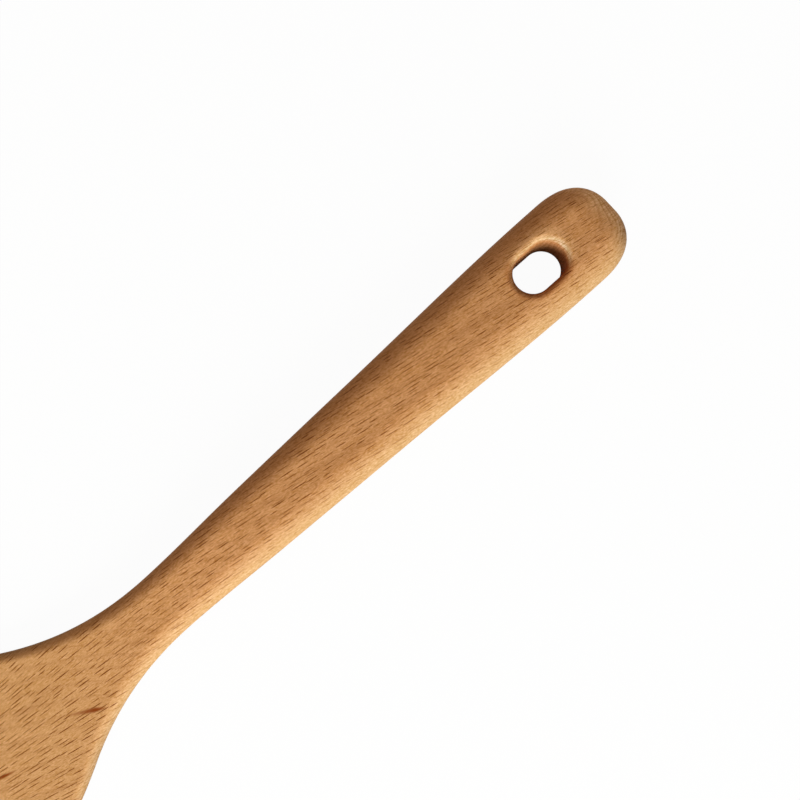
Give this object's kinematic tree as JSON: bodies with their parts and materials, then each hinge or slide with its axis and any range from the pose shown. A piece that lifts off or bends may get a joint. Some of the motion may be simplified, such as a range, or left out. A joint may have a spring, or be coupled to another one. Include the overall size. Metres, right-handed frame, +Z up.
{
  "type": "wooden turner",
  "caption": "One-piece wooden kitchen turner: rounded grip with a hanging slot, narrow neck and thin flared blade with a straight front edge, for turning and scraping food.",
  "frame": {"origin": "on the surface it lies on, under the middle of the whole turner", "axes": "+X along the turner from the blade to the handle end, +Z up out of the blade's upper face, +Y to the left seen from the handle end"},
  "size_m": [0.33, 0.077, 0.0181],
  "materials": {
    "beech": "fine-sanded beech with a satin oil finish, ray flecks along the grain"
  },
  "bodies": {
    "root": {"turner": "beech"}
  },
  "joints": []
}
